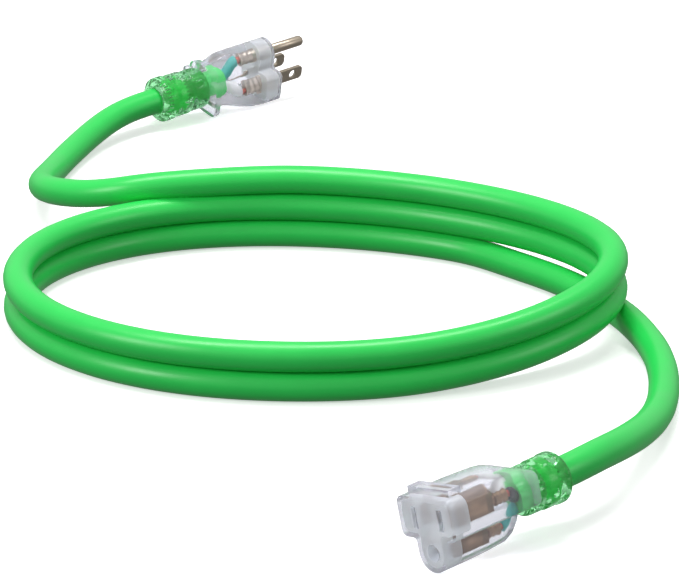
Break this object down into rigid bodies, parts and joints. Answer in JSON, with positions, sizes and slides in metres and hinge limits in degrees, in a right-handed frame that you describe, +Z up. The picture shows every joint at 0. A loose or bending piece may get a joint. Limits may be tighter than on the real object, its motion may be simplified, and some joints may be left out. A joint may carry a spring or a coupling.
{
  "type": "extension cord",
  "caption": "Heavy green three-conductor extension cord in low turns, with a clear moulded grounded plug and a clear moulded connector.",
  "frame": {"origin": "on the floor, midway between the plug and the connector", "axes": "+X to the right along the coil, +Y to the back towards the plug, +Z up"},
  "size_m": [0.2568, 0.5665, 0.0344],
  "materials": {
    "jacket_pvc": "extruded bright green PVC jacket, soft satin gloss",
    "clear_pvc": "moulded clear PVC, faintly lilac-grey and slightly cloudy",
    "frosted_pvc": "moulded translucent PVC, milky",
    "nickel_plate": "nickel-plated brass, brushed by stamping, warm grey",
    "brass_strip": "stamped brass strip",
    "copper_strand": "bare stranded copper",
    "black_insulation": "black PVC wire insulation",
    "white_insulation": "white PVC wire insulation",
    "green_insulation": "blue-green PVC wire insulation"
  },
  "bodies": {
    "root": {"cord_coil": "jacket_pvc", "cord_plug_stretch": "jacket_pvc", "cord_connector_stretch": "jacket_pvc", "plug_jacket_end": "jacket_pvc", "connector_jacket_end": "jacket_pvc", "plug_body": "clear_pvc", "plug_strain_relief": "clear_pvc", "connector_body": "clear_pvc", "connector_strain_relief": "clear_pvc", "plug_blade_carrier": "frosted_pvc", "connector_face_insert": "frosted_pvc", "plug_line_blade": "nickel_plate", "plug_neutral_blade": "nickel_plate", "plug_ground_pin": "nickel_plate", "plug_line_wire": "black_insulation", "plug_line_strands": "copper_strand", "plug_neutral_wire": "white_insulation", "plug_neutral_strands": "copper_strand", "plug_ground_wire": "green_insulation", "plug_ground_strands": "copper_strand", "connector_line_wire": "black_insulation", "connector_line_strands": "copper_strand", "connector_neutral_wire": "white_insulation", "connector_neutral_strands": "copper_strand", "connector_ground_wire": "green_insulation", "connector_ground_strands": "copper_strand", "connector_line_contact": "brass_strip", "connector_neutral_contact": "brass_strip", "connector_ground_contact": "brass_strip"}
  },
  "joints": []
}
